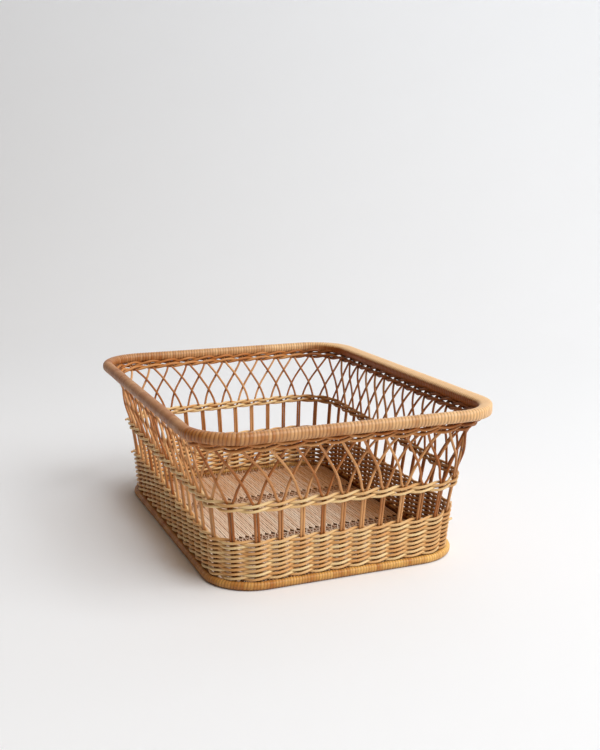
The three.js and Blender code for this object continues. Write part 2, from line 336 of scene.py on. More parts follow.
def grain_attributes(piece, routes, radius, sides, seed):
    """What the materials read: a tone for each cane, and a vertex's place in the straightened cane."""
    draw = random.Random(seed)
    tones = []
    grain = []
    for route in routes:
        tone = draw.random()
        start = draw.uniform(0, 10)
        run = 0.0
        before = route[0][0]
        for place, _ in route:
            run += (place - before).length
            before = place
            for side in range(sides):
                angle = FULL_TURN * side / sides
                tones.append(tone)
                grain.extend((start + run, radius * math.cos(angle), radius * math.sin(angle)))
    mesh = piece.data
    if len(mesh.vertices) != len(tones):
        raise RuntimeError(f"{piece.name} has {len(mesh.vertices)} vertices and not {len(tones)}")
    point_attribute(mesh, "tone", tones)
    point_attribute(mesh, "grain", grain)


def dress(piece, material, slot, *nodes):
    """Gives a piece its material, parents it to the root and hides the solids that it stands for. Slot is
    not used.
    """
    piece.data.materials.clear()
    piece.data.materials.append(material)
    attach(piece, "root")
    if nodes:
        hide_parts(*nodes)


def add_node(tree, kind, settings=None, **inputs):
    """Adds a node with its settings, values and links. Inputs without a name are i0, i1 and so on."""
    node = tree.nodes.new("ShaderNode" + kind)
    for key, value in (settings or {}).items():
        setattr(node, key, value)
    for key, value in inputs.items():
        numbered = key[0] == "i" and key[1:].isdigit()
        socket = node.inputs[int(key[1:]) if numbered else key.replace("_", " ")]
        if isinstance(value, bpy.types.NodeSocket):
            tree.links.new(value, socket)
        else:
            socket.default_value = value
    return node


def colour4(colour):
    return (*colour, 1)


def new_material(name):
    """A material, and its node tree without nodes."""
    material = bpy.data.materials.new(name)
    material.use_nodes = True
    material.node_tree.nodes.clear()
    return material, material.node_tree


# Settings of the nodes that mix two colours, darken one by another and add up to no more than 1
MIX = {"data_type": "RGBA"}
DARKEN = {"data_type": "RGBA", "blend_type": "MULTIPLY"}
ADD = {"operation": "ADD", "use_clamp": True}

# Patches of tone, as sap and sun leave them along a cane, and its fibres
PATCH_LENGTH = 35.714 * MM
PATCH_WIDTH = 11.111 * MM
FIBRE_LENGTH = 12.5 * MM
FIBRE_WIDTH = 0.25 * MM
FIBRE_HEIGHT = 0.08 * MM
FIBRE_STRENGTH = 0.35

# Noise mostly lies between these values
PATCH_NOISE = (0.3, 0.7)
FIBRE_NOISE = (0.35, 0.65)

# Painted shade where canes lie close: how far round a point on a cane is looked for others, and the open
# share that leaves it unshaded
CREVICE_REACH = 9 * MM
CREVICE_OPENING = 0.66
CREVICE_SAMPLES = 5

# Colour of the painted shade: the cane's deep colour to this power, and then this share of it
SHADE_POWER = 1.5
SHADE_LEVEL = 0.28

# Satin skin under a worn coat of varnish, and how much duller and shinier the fibres make it
RATTAN_IOR = 1.5
RATTAN_SHINE = 0.3
VARNISH_WEIGHT = 0.05
VARNISH_ROUGHNESS = 0.3
FIBRE_ROUGHNESS = 0.08


def rattan_material(name, pale, deep, roughness, streak, wear, crevice=0.65):
    """Rattan cane: a tone for each cane, patches along it and fine fibres.

    The skin is satin, so the highlights are soft and break up along the fibres. Streak is how much
    darker the fibres get, and wear how far the patches change the tone. Crevice is how dark the painted
    shade is where canes lie close together.
    """
    material, tree = new_material(name)
    tone = add_node(tree, "Attribute", {"attribute_name": "tone"}).outputs["Fac"]
    shade = add_node(tree, "Attribute", {"attribute_name": "shade"}).outputs["Fac"]
    grain = add_node(tree, "Attribute", {"attribute_name": "grain"}).outputs["Vector"]

    patch_scale = (1 / PATCH_LENGTH, 1 / PATCH_WIDTH, 1 / PATCH_WIDTH)
    patch_place = add_node(tree, "Mapping", Vector=grain, Scale=patch_scale).outputs[0]
    patches = add_node(tree, "TexNoise", Vector=patch_place, Scale=1, Detail=2).outputs[0]
    low, high = PATCH_NOISE
    patch_tone = add_node(tree, "MapRange", i0=patches, i1=low, i2=high, i3=-wear, i4=wear)
    whole_tone = add_node(tree, "Math", ADD, i0=tone, i1=patch_tone.outputs[0]).outputs[0]
    base = add_node(tree, "Mix", MIX, i0=whole_tone, i6=colour4(pale), i7=colour4(deep))

    fibre_scale = (1 / FIBRE_LENGTH, 1 / FIBRE_WIDTH, 1 / FIBRE_WIDTH)
    fibre_place = add_node(tree, "Mapping", Vector=grain, Scale=fibre_scale).outputs[0]
    fibre_noise = add_node(tree, "TexNoise", Vector=fibre_place, Scale=1, Detail=3, Roughness=0.6)
    fibres = fibre_noise.outputs[0]
    low, high = FIBRE_NOISE
    dark = add_node(tree, "MapRange", i0=fibres, i1=low, i2=high, i3=1 - streak, i4=1)
    fibred = add_node(tree, "Mix", DARKEN, i0=1.0, i6=base.outputs[2], i7=dark.outputs[0])

    # Painted shade between canes that are close together, and in the seams and other places that the shade
    # attribute marks
    shade_colour = colour4(tuple(SHADE_LEVEL * part ** SHADE_POWER for part in deep))
    samples = {"samples": CREVICE_SAMPLES}
    opening = add_node(tree, "AmbientOcclusion", samples, Distance=CREVICE_REACH).outputs["AO"]
    occluded_shade = add_node(tree, "MapRange", i0=opening, i1=0.0, i2=CREVICE_OPENING, i3=crevice, i4=0)
    clean = add_node(tree, "Mix", MIX, i0=occluded_shade.outputs[0], i6=fibred.outputs[2], i7=shade_colour)
    toned = add_node(tree, "Mix", MIX, i0=shade, i6=clean.outputs[2], i7=shade_colour)

    duller, shinier = roughness + FIBRE_ROUGHNESS, roughness - FIBRE_ROUGHNESS
    rough = add_node(tree, "MapRange", i0=fibres, i3=duller, i4=shinier).outputs[0]
    bump = add_node(tree, "Bump", Strength=FIBRE_STRENGTH, Distance=FIBRE_HEIGHT, Height=fibres)
    shader = add_node(tree, "BsdfPrincipled", Base_Color=toned.outputs[2], Roughness=rough,
                      Normal=bump.outputs[0], IOR=RATTAN_IOR)
    shader.inputs["Specular IOR Level"].default_value = RATTAN_SHINE
    shader.inputs["Coat Weight"].default_value = VARNISH_WEIGHT
    shader.inputs["Coat Roughness"].default_value = VARNISH_ROUGHNESS
    add_node(tree, "OutputMaterial", Surface=shader.outputs[0])
    return material


# Clouds in the paper's tone, in metres, and how much lighter and darker they make it
PAPER_CLOUD = 1.25
PAPER_UNEVENNESS = 0.015


def paper_material(name, colour, roughness):
    """Matt paper: a pale, even ground that takes a soft shadow and hardly shines."""
    material, tree = new_material(name)
    place = add_node(tree, "TexCoord").outputs["Object"]
    cloud = add_node(tree, "TexNoise", Vector=place, Scale=1 / PAPER_CLOUD, Detail=1).outputs[0]
    darker, lighter = 1 - PAPER_UNEVENNESS, 1 + PAPER_UNEVENNESS
    shade = add_node(tree, "MapRange", i0=cloud, i3=darker, i4=lighter).outputs[0]
    tint = add_node(tree, "Mix", DARKEN, i0=1.0, i6=colour4(colour), i7=shade).outputs[2]
    shader = add_node(tree, "BsdfPrincipled", Base_Color=tint, Roughness=roughness)
    shader.inputs["Specular IOR Level"].default_value = 0.2
    add_node(tree, "OutputMaterial", Surface=shader.outputs[0])
    return material


class BASKET_OT_lattice_canes(bpy.types.Operator):
    """Round canes that stand in pairs and spread into the lattice"""
    bl_idname = "basket.lattice_canes"
    bl_label = "Lattice canes"

    # Height from one point of a cane to the next, and its top below the middle of the rim pole
    height_step = 4 * MM
    top_drop = 4.6 * MM
    bend_steps = 6
    # How far a pair stands aside, how far a cane bows in the lattice, and how much its thickness varies
    stray = 0.8 * MM
    bow = 1.1 * MM
    thickness_spread = 0.05

    def leg(self, wall, sizes, pair, side, shift_low, shift_high, draw):
        """One cane of a pair, from the foot to the rim: side is -1 for the left one and 1 for the right."""
        pair_half = sizes.stake_radius + sizes.gap / 2
        bow = draw.uniform(-self.bow, self.bow)
        thickness = draw.uniform(1 - self.thickness_spread, 1 + self.thickness_spread)
        foot = FOOT_TURN + pair_half
        top = RIM_HEIGHT - self.top_drop
        count = math.ceil((top - foot) / self.height_step)
        found = []
        for height in [foot + step * self.height_step for step in range(count)] + [top]:
            pitch = wall.plan(height).length / PAIRS
            middle, _ = wall.plan(height).at((pair + FIRST_PAIR) / PAIRS)
            lattice_height = height + LATTICE_LAG * wall.climb(height, middle.y)
            lean = smooth(LEANS, lattice_height)
            aside = pair_half / pitch
            shift = aside + lean * (PARTNER_STEPS / 2 - 2 * aside)
            settled = shift_low + (shift_high - shift_low) * height / RIM_HEIGHT
            drift = settled * (1 - lean) + bow * math.sin(math.pi * lean)
            layer = -side * pair_half * smooth(LAYERS, lattice_height)
            share = (pair + FIRST_PAIR + side * shift + drift / pitch) / PAIRS
            found.append((wall.place(share, height, layer), thickness))
        return found

    def route(self, wall, sizes, pair, draw):
        """One cane bent double at the foot: down the outer leg of a pair and up the inner one."""
        shift_low = draw.uniform(-self.stray, self.stray)
        shift_high = draw.uniform(-self.stray, self.stray)
        outer, inner = (self.leg(wall, sizes, pair, side, shift_low, shift_high, draw) for side in (-1, 1))
        left, right = outer[0][0], inner[0][0]
        middle = (left + right) / 2
        depth = Vector((0, 0, sizes.stake_radius + sizes.gap / 2))
        bend = []
        for step in range(1, self.bend_steps):
            angle = math.pi * step / self.bend_steps
            bend.append((middle + (left - middle) * math.cos(angle) - depth * math.sin(angle), 1.0))
        return list(reversed(outer)) + bend + inner

    def execute(self, context):
        sizes, colours = context.scene.basket_sizes, context.scene.basket_colours
        wall = Wall(sizes)
        # Core cane, scraped round and varnished: a satin, slightly red brown with darker fibres
        material = rattan_material("rattan_core_stakes", colours.stake, colours.stake_deep,
                                   roughness=0.42, streak=0.2, wear=0.3)
        draw = random.Random(11)
        routes = [self.route(wall, sizes, pair, draw) for pair in range(PAIRS)]
        for number in range(PAIRS // 2):
            block, step = divmod(number, PARTNER_STEPS)
            first = 2 * PARTNER_STEPS * block + step
            chosen = [routes[first], routes[first + PARTNER_STEPS]]
            name = f"lattice_cane_{number + 1:02d}"
            piece = cane_piece(name, chosen, sizes.stake_radius, False, 100 + number)
            # Painted shade on the canes' inside at the right wall
            painted_shade_inside(piece, chosen, sizes.stake_radius, 0.35)
            dress(piece, material, "stake", f"stake_cane_{number + 1:02d}")
        return {"FINISHED"}


class BASKET_OT_twined_rows(bpy.types.Operator):
    """Rows of two canes that twist round each other and hold the pairs"""
    bl_idname = "basket.twined_rows"
    bl_label = "Twined rows"

    # The bands slope down to the right on the front, and the upper one hangs lower there
    front_slope = 1.5 * MM
    upper_droop = 0.9 * MM
    # How far a whole band strays in height, and how far a row does in its band
    band_stray = 0.25 * MM
    row_stray = 0.4 * MM
    # Points of a cane from one pair to the next, and how high it twists, as a share of its radius
    pair_steps = 12
    twist_height = 0.86
    # Pair, band and row of each cut end
    cut_places = ((33, "middle", 1), (32, "middle", 0), (33, "lower", 8), (32, "lower", 7),
                  (6, "middle", 0), (6, "lower", 8), (5, "lower", 6))
    # A cut end: its lean in pairs, its rise, its reach off the row, and its girth beside a weaver's
    cut_lean = 0.3
    cut_rise = 0.8 * MM
    cut_length = 3 * MM
    cut_girth = 0.85

    def route(self, wall, sizes, height, start, strand, radius, draw, sway):
        """One of a row's two canes, once round the basket."""
        reach = sizes.stake_radius + radius
        swing = self.twist_height * radius
        waves = slow_waves(draw, 3, 2, 9, 0.1, 0.25)
        girths = slow_waves(draw, 3, 5, 17, 0.01, 0.03)
        found = []
        for step in range(PAIRS * self.pair_steps):
            run = step / self.pair_steps
            turn = FULL_TURN * run / PAIRS
            twist = math.pi * (run + strand)
            rise = self.row_stray * wave_height(waves, turn) + sway(turn)
            place = wall.place((run + start) / PAIRS, height + rise,
                               reach * math.cos(twist), swing * math.sin(twist))
            found.append((place, 1 + wave_height(girths, turn)))
        return found

    def band(self, sizes, name, count, base, pitch, start, slope, droop, radius, material, seed):
        wall = Wall(sizes)
        draw = random.Random(seed)
        phases = [draw.uniform(0, FULL_TURN) for _ in range(3)]

        def sway(turn):
            uneven = sum(math.sin(crests * turn + phase) for crests, phase in enumerate(phases, 3))
            return self.band_stray * uneven - slope * math.sin(2 * turn) - droop * math.cos(turn)

        for row in range(count):
            height = base + (row + 0.5) * pitch
            routes = [self.route(wall, sizes, height, start, strand, radius, draw, sway)
                      for strand in (0, 1)]
            node = f"{name}_{row + 1}"
            piece = cane_piece(f"twined_{node}", routes, radius, True, seed + row)
            # Painted shade on the rows' inside at the right wall
            painted_shade_inside(piece, routes, radius, 1.0)
            dress(piece, material, "weave", node)

    def cut_ends(self, sizes, material):
        """Cut ends of weavers that stick out of the rows at two corners."""
        wall = Wall(sizes)
        reach = sizes.stake_radius + sizes.weaver_radius
        girth = self.cut_girth * sizes.weaver_radius
        bases = {"middle": MIDDLE_BAND, "lower": LOWER_WEAVE}
        routes = []
        for pair, band, row in self.cut_places:
            share = (pair + FIRST_PAIR) / PAIRS
            height = bases[band] + (row + 0.5) * sizes.row_pitch
            start = wall.place(share, height, reach)
            end = wall.place(share + self.cut_lean / PAIRS, height + self.cut_rise, reach + self.cut_length)
            routes.append([(start, 1.0), ((start + end) / 2, 1.0), (end, 1.0)])
        dress(cane_piece("cut_ends", routes, girth, False, 81), material, "weave")

    def execute(self, context):
        sizes, colours = context.scene.basket_sizes, context.scene.basket_colours
        # Core cane left bare: pale and creamy, a little dull, with soft brown patches
        bare = rattan_material("rattan_core_weavers", colours.weaver, colours.weaver_deep,
                               roughness=0.46, streak=0.18, wear=0.45)
        # Core cane browned as painted shade under the rim, with more painted shade where its canes cross
        under_rim_shade = rattan_material("rattan_core_under_rim_shade", colours.under_rim_shade, colours.under_rim_shade_deep,
                               roughness=0.5, streak=0.2, wear=0.4, crevice=0.8)
        self.band(sizes, "lower_row", LOWER_ROWS, LOWER_WEAVE, sizes.row_pitch, start=FIRST_PAIR,
                  slope=0, droop=0, radius=sizes.weaver_radius, material=bare, seed=21)
        self.band(sizes, "middle_row", BAND_ROWS, MIDDLE_BAND, sizes.row_pitch, start=FIRST_PAIR,
                  slope=self.front_slope, droop=0, radius=sizes.weaver_radius, material=bare, seed=41)
        self.band(sizes, "upper_row", BAND_ROWS, UPPER_BAND, sizes.flare_pitch,
                  start=FIRST_PAIR + PARTNER_STEPS / 2, slope=self.front_slope / 2,
                  droop=self.upper_droop, radius=sizes.upper_radius, material=under_rim_shade, seed=61)
        self.cut_ends(sizes, bare)
        return {"FINISHED"}


class Winding:
    """Flat cane wound turn by turn round a pole, modelled as one closed, ridged skin.

    The rows of faces follow the cane's own helix, so that each groove is a clean edge. The section is
    round but for the right side, where square presses it toward a square with soft corners and spread
    widens it inward. How much of a turn's tone comes from its side of the basket is painted light and
    shade: pale at the right, where the window lights it, and brown at the left, in shade. Groove is how
    dark the painted shade and dirt in the grooves are, and inner_shade how dark the painted shade on the
    inner face of the right side is.
    """

    # Points round the section, and rows across one turn of the cane
    around = 28
    across = 6
    # Exponent of the section's outline: 2 would be a circle
    roundness = 2.2
    # Part of the spread by which the top sinks, so that it slopes inward
    sink = 0.6
    # Most that a turn lies low, in crowns, and that it widens and bends, in its own widths
    lowering = 0.22
    widening = 0.09
    bending = 0.06
    # Share of a turn's own tone that comes from patches of several turns
    patch_share = 0.7
    # Painted shade on the inner face of the right side: its tone, how sharply it sets in, and how far below
    # the top it does
    inner_tone = 1.2
    inner_sharpness = 10
    inner_start = 8.3
    # Painted light on top, where the window lights it: how much paler the top is, and how much more so and
    # how much less grooved the right side is
    top_light = 0.1
    right_top_light = 0.25
    groove_loss = 0.4

    def __init__(self, square, spread, side_light, groove, inner_shade, seed):
        self.square = square
        self.spread = spread
        self.side_light = side_light
        self.groove = groove
        self.inner_shade = inner_shade
        self.seed = seed

    def turn_tones(self, plan, turns, draw):
        """Tone of each turn: its side of the basket, as painted light and shade, patches of several turns
        and its own part.
        """
        waves = slow_waves(draw, 6, 7, 34, 0.1, 0.24)
        half = plan.flat_x + plan.corner
        tones = []
        for turn in range(turns):
            side = 0.5 - 0.5 * plan.at((turn + 0.5) / turns)[0].x / half
            patch = 0.5 + wave_height(waves, FULL_TURN * turn / turns)
            own = self.patch_share * patch + (1 - self.patch_share) * draw.random()
            tones.append(self.side_light * side + (1 - self.side_light) * own)
        return tones

    def section(self, angle, right, thickness):
        """How far a point of the section lies outward of the pole's middle, and above it."""
        power = self.roundness + self.square * right ** 2
        fill = abs(math.cos(angle)) ** power + abs(math.sin(angle)) ** power
        reach = thickness / fill ** (1 / power)
        within = self.spread * right ** 2 * max(0, -math.cos(angle))
        sunk = self.sink * within * max(0, math.sin(angle))
        return reach * math.cos(angle) - within, reach * math.sin(angle) - sunk

    def skin(self, angle, right, tone, bulge):
        """Tone and painted shade of a point of the skin, with painted light on its top."""
        # On top the painted shade of the inner face sets in further down than underneath
        start = self.inner_start if math.sin(angle) > 0 else 0
        inward = min(1, max(0, -self.inner_sharpness * math.cos(angle) - start)) * right
        # Painted light on the top, more of it on the right side
        lit_top = (self.top_light + self.right_top_light * right) * max(0, math.sin(angle)) * (1 - inward)
        # Painted shade and dirt in the grooves, less of it on the lit right side
        groove = self.groove * (1 - bulge) * (1 - self.groove_loss * right)
        skin_tone = tone * (1 - inward) + self.inner_tone * inward - lit_top
        return skin_tone, min(1, groove + self.inner_shade * inward)

    def wind(self, name, plan, height, radius, turn_width, crown):
        """The wound skin of a pole that lies along the plan."""
        turns = round(plan.length / turn_width)
        rows = turns * self.across
        draw = random.Random(self.seed)
        tones = self.turn_tones(plan, turns, draw)
        lows = [draw.uniform(0, self.lowering) * crown for _ in range(turns)]
        widths = [draw.uniform(-self.widening, self.widening) for _ in range(turns)]
        bends = [draw.uniform(-self.bending, self.bending) for _ in range(turns)]
        places, grain, tone, shade = [], [], [], []
        for row in range(rows):
            turn, part = divmod(row, self.across)
            after = (turn + 1) % turns
            crossed = part / self.across
            bulge = math.sin(math.pi * crossed) ** 0.5
            for step in range(self.around):
                gone = step / self.around
                angle = FULL_TURN * gone
                widened = (widths[turn] * (1 - gone) + widths[after] * gone) * (1 - crossed)
                bent = bends[turn] * math.sin(angle) * math.sin(math.pi * crossed)
                low = lows[turn] * (1 - gone) + lows[after] * gone
                point, out = plan.at((turn + crossed + gone + widened + bent) / turns)
                right = max(0, out.x)
                level, upright = self.section(angle, right, radius - crown + (crown - low) * bulge)
                point += level * out
                # Nothing reaches below the ground
                places.append((point.x, point.y, max(0, height + upright)))
                grain.extend(((turn + gone) * FULL_TURN * radius, crossed * turn_width, 0.0))
                skin_tone, skin_shade = self.skin(angle, right, tones[turn], bulge)
                tone.append(skin_tone)
                shade.append(skin_shade)

        def vertex(row, step):
            """Number of a vertex, where the last step round meets the first one of the next turn."""
            next_turn = self.across if step == self.around else 0
            return (row + next_turn) % rows * self.around + step % self.around

        corners = ((0, 0), (1, 0), (1, 1), (0, 1))
        faces = [[vertex(row + down, step + on) for down, on in corners]
                 for row in range(rows) for step in range(self.around)]
        mesh = bpy.data.meshes.new(name)
        mesh.from_pydata(places, [], faces)
        for attribute, values in (("tone", tone), ("shade", shade), ("grain", grain)):
            point_attribute(mesh, attribute, values)
        piece = bpy.data.objects.new(name, mesh)
        bpy.context.collection.objects.link(piece)
        bpy.ops.object.select_all(action="DESELECT")
        piece.select_set(True)
        bpy.context.view_layer.objects.active = piece
        bpy.ops.object.shade_smooth()
        return piece


class BASKET_OT_wound_rim(bpy.types.Operator):
    """Cane wound turn by turn round the rim pole"""
    bl_idname = "basket.wound_rim"
    bl_label = "Wound rim"

    def execute(self, context):
        sizes, colours = context.scene.basket_sizes, context.scene.basket_colours
        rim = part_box("rim_binding")[1]
        plan = Plan(rim.x - sizes.rim_radius, rim.y - sizes.rim_radius, sizes.rim_corner)
        winding = Winding(square=4.2, spread=3.2 * MM, side_light=0.75, groove=0.55, inner_shade=0.12, seed=5)
        piece = winding.wind("wound_rim", plan, RIM_HEIGHT, sizes.rim_radius, sizes.rim_turn,
                             sizes.rim_crown)
        # Rattan skin, smooth and worn by hands: a warm satin with soft highlights along each turn
        material = rattan_material("cane_skin_rim", colours.rim, colours.rim_deep,
                                   roughness=0.34, streak=0.15, wear=0.2, crevice=0.4)
        dress(piece, material, "rim", "rim_binding")
        return {"FINISHED"}


class BASKET_OT_wound_foot(bpy.types.Operator):
    """Cane wound turn by turn round the foot pole"""
    bl_idname = "basket.wound_foot"
    bl_label = "Wound foot"

    # The solid foot stands on a flat side, which is a tenth of a turn wide
    flat_half = math.pi / 10

    def execute(self, context):
        sizes, colours = context.scene.basket_sizes, context.scene.basket_colours
        low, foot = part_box("foot_binding")
        plan = Plan(foot.x - sizes.foot_radius, foot.y - sizes.foot_radius, sizes.foot_corner)
        height = low.z + sizes.foot_radius * math.cos(self.flat_half)
        winding = Winding(square=0.2, spread=0, side_light=0.55, groove=0.45, inner_shade=0.3, seed=6)
        piece = winding.wind("wound_foot", plan, height, sizes.foot_radius, sizes.foot_turn,
                             sizes.foot_crown)
        # Rattan skin, less handled than the rim: more yellow and a little duller
        material = rattan_material("cane_skin_foot", colours.foot, colours.foot_deep,
                                   roughness=0.4, streak=0.15, wear=0.3)
        dress(piece, material, "foot", "foot_binding")
        return {"FINISHED"}


def chord(place, half, other, corner):
    """Half a rounded rectangle's width at a distance from its middle, toward the side at half."""
    inside = max(0, place - (half - corner))
    return other - corner + math.sqrt(max(0, corner ** 2 - inside ** 2))


class BASKET_OT_woven_floor(bpy.types.Operator):
    """Close woven floor with open rows of crossing strands"""
    bl_idname = "basket.woven_floor"
    bl_label = "Woven floor"

    # Middles of the open rows, half the length of one, and over what run and how far it gathers strands
    open_middles = (-196 * MM, -70 * MM, 73 * MM, 196 * MM)
    open_half = 8.5 * MM
    gather_run = 3 * MM
    gathered_pitch = 0.2
    gathered_width = 0.36
    # Strands run in groups, lie this much closer than evenly in one, and leave gaps this much wider
    in_group = 3
    group_closeness = 0.965
    gap_opening = 0.3 * MM
    # A strand: its radius in pitches and its sides before it is pressed to this share of its height,
    # how deep its middle lies, how far it strays, and its points from one cross cane to the next
    strand_girth = 0.54
    strand_sides = 6
    strand_flatness = 0.5
    strand_depth = 0.72 * MM
    strand_stray = 0.1 * MM
    strand_points = 3.2
    # Painted shade, partly dirt, on the sides of strands: how dark where groups meet and elsewhere, and how
    # far a seam reaches
    seam_shade = 0.4
    side_shade = 0.15
    seam_reach = 0.35
    # How much of its own tone a strand keeps, how brown the middle is, and how much more so the back
    own_tone = 0.4
    middle_brown = 0.1925
    back_brown = 0.3575
    # Painted shadow of the right wall on the floor: where it begins, over what run it sets in, and how dark
    # it is
    shadow_start = 55 * MM
    shadow_run = 70 * MM
    shadow_darkness = 0.25
    # Radius of a cross cane, and half the points of a cane or splint that lies across the floor
    cross_radius = 0.35 * MM
    cross_steps = 6
    # A strip of painted shadow under the strands, made like a flat splint: half its width, its thickness as
    # a share of its width, its sides, and its two tones
    shade_strip_half = 6 * MM
    shade_strip_flatness = 0.025
    shade_strip_sides = 10
    shade_strip_pale = 0.85
    shade_strip_deep = 0.5

    def crossing(self, y):
        """How many open rows are passed at y, and how tightly the strands gather there."""
        crossed, gathered = 0, 0.0
        for middle in self.open_middles:
            along = (y - middle) / (2 * self.open_half) + 0.5
            crossed += min(1, max(0, along))
            beyond = max(0, abs(y - middle) - self.open_half)
            gathered = max(gathered, 1 - min(1, beyond / self.gather_run))
        return crossed, gathered

    def moved_on(self, group, role, passed, groups):
        """Group and place in it after some open rows: outer strands move on to the next group."""
        for _ in range(passed):
            if role == 0:
                break
            group = min(max(group + role, 0), groups - 1)
            role = -role
        return group, role

    def strand(self, index, groups, pitch, reach, sizes, top, draw):
        """One strand from front to back, which dips under the cross canes."""
        count = round(2 * self.strand_points * reach / sizes.cross_pitch)
        stray = draw.uniform(-self.strand_stray, self.strand_stray)
        group, role = index // self.in_group, index % self.in_group - 1
        found = []
        for step in range(count + 1):
            y = reach * (2 * step / count - 1)
            crossed, gathered = self.crossing(y)
            passed = math.floor(crossed)
            closeness = self.group_closeness - (self.group_closeness - self.gathered_pitch) * gathered
            x = stray
            for weight, number in ((1 - crossed + passed, passed), (crossed - passed, passed + 1)):
                to_group, to_role = self.moved_on(group, role, number, groups)
                line = to_group + (to_role > 0)
                parted = max(0, math.cos(math.pi * (y / sizes.cross_pitch + line))) * (1 - gathered)
                aside = to_role * (pitch * closeness - self.gap_opening * parted)
                x += weight * ((to_group - (groups - 1) / 2) * self.in_group * pitch + aside)
            # The outer strands pass over and under each other by turns where they gather
            layer = role * 0.5 * math.copysign(1, math.sin(math.pi * (passed + 0.5)))
            dip = 0.5 * abs(role) * (1 - gathered) + (0.5 - layer) * gathered
            height = top - self.strand_depth - sizes.strand_dip * dip
            found.append((Vector((x, y, height)), 1 - (1 - self.gathered_width) * gathered))
        return found

    def flatten(self, piece, strands, radius, group_pitch, far):
        """Presses the round strands flat, paints shade on the sides, most where groups meet, paints the
        right wall's shadow, and browns the back.
        """
        mesh = piece.data
        shade = mesh.attributes.new("shade", "FLOAT", "POINT").data
        tone = mesh.attributes["tone"].data
        first = 0
        for route in strands:
            for place, _ in route:
                # Painted shadow of the right wall
                in_shade = min(1, max(0, (place.x - self.shadow_start) / self.shadow_run))
                for number in range(first, first + self.strand_sides):
                    vertex = mesh.vertices[number]
                    side = (vertex.co.x - place.x) / radius
                    from_seam = 2 * abs((vertex.co.x / group_pitch) % 1 - 0.5)
                    # Painted shade on the strands' sides, darkest where groups meet
                    darkest = self.seam_shade if from_seam < self.seam_reach else self.side_shade
                    vertex.co.z = place.z + (vertex.co.z - place.z) * self.strand_flatness
                    shade[number].value = darkest * abs(side) ** 3 + self.shadow_darkness * in_shade
                    brown = self.own_tone * tone[number].value
                    brown += self.middle_brown + self.back_brown * place.y / far
                    tone[number].value = brown + in_shade * (1 - brown)
                first += self.strand_sides

    def crosswise(self, reach, y, height):
        """Straight route from one side of the floor to the other."""
        steps = self.cross_steps
        return [(Vector((reach * (step / steps - 1), y, height)), 1.0) for step in range(2 * steps + 1)]

    def cross_canes(self, low, high, corner, sizes, material):
        """Thin canes that the strands are woven round, just above the strips of painted shadow."""
        rows = int(high.y / sizes.cross_pitch)
        height = low.z + 2 * self.shade_strip_half * self.shade_strip_flatness + self.cross_radius
        routes = []
        for row in range(-rows, rows):
            y = (row + 0.5) * sizes.cross_pitch
            routes.append(self.crosswise(chord(abs(y), high.y, high.x, corner), y, height))
        piece = cane_piece("floor_cross_canes", routes, self.cross_radius, False, 72, self.strand_sides)
        dress(piece, material, "floor")

    def shade_strips(self, low, high, corner, colours):
        """Dark flat strips side by side under the strands: a sheet of painted shadow under the floor."""
        count = round(high.y / self.shade_strip_half)
        half = high.y / count
        middle = low.z + half * self.shade_strip_flatness
        routes = []
        for row in range(count):
            y = (2 * row + 1) * half - high.y
            routes.append(self.crosswise(chord(abs(y) + half, high.y, high.x, corner), y, middle))
        piece = cane_piece("floor_shade_strips", routes, half, False, 73, self.shade_strip_sides)
        for vertex in piece.data.vertices:
            vertex.co.z = middle + (vertex.co.z - middle) * self.shade_strip_flatness
        # Painted shadow under the floor: dark and rough, so that it hardly shines
        pale = tuple(part * self.shade_strip_pale for part in colours.stake_deep)
        deep = tuple(part * self.shade_strip_deep for part in colours.stake_deep)
        material = rattan_material("painted_shade_strips", pale, deep,
                                   roughness=0.8, streak=0.2, wear=0.3, crevice=0.2)
        dress(piece, material, "floor")

    def execute(self, context):
        sizes, colours = context.scene.basket_sizes, context.scene.basket_colours
        low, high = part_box("floor_panel")
        corner = sizes.foot_corner - sizes.foot_radius
        groups = round(2 * high.x / (self.in_group * sizes.strand_width))
        pitch = 2 * high.x / (self.in_group * groups)
        radius = self.strand_girth * pitch
        draw = random.Random(31)
        strands = []
        for index in range(self.in_group * groups):
            reach = chord(abs((index + 0.5) * pitch - high.x), high.x, high.y, corner)
            strands.append(self.strand(index, groups, pitch, reach, sizes, high.z, draw))
        # Split core cane, pressed flat: pale, dull and finely streaked
        material = rattan_material("rattan_core_floor", colours.floor, colours.floor_deep,
                                   roughness=0.55, streak=0.2, wear=0.2, crevice=0.4)
        piece = cane_piece("woven_floor", strands, radius, False, 71, self.strand_sides)
        self.flatten(piece, strands, radius, self.in_group * pitch, high.y)
        dress(piece, material, "floor", "floor_panel")
        self.cross_canes(low, high, corner, sizes, material)
        self.shade_strips(low, high, corner, colours)
        return {"FINISHED"}


class BASKET_OT_bare_poles(bpy.types.Operator):
    """Finish of the two poles under the wound cane"""
    bl_idname = "basket.bare_poles"
    bl_label = "Bare poles"

    # The pole's deep colour, as a share of its pale one
    deep_share = 0.7

    def execute(self, context):
        colours = context.scene.basket_colours
        deep = tuple(part * self.deep_share for part in colours.pole)
        # Rattan pole with its skin scraped off: dry and dull, with coarse fibres
        material = rattan_material("bare_rattan_pole", colours.pole, deep,
                                   roughness=0.6, streak=0.25, wear=0.3)
        for name in ("rim_pole", "foot_pole"):
            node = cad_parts[name]
            node.data.materials.clear()
            node.data.materials.append(material)
        return {"FINISHED"}


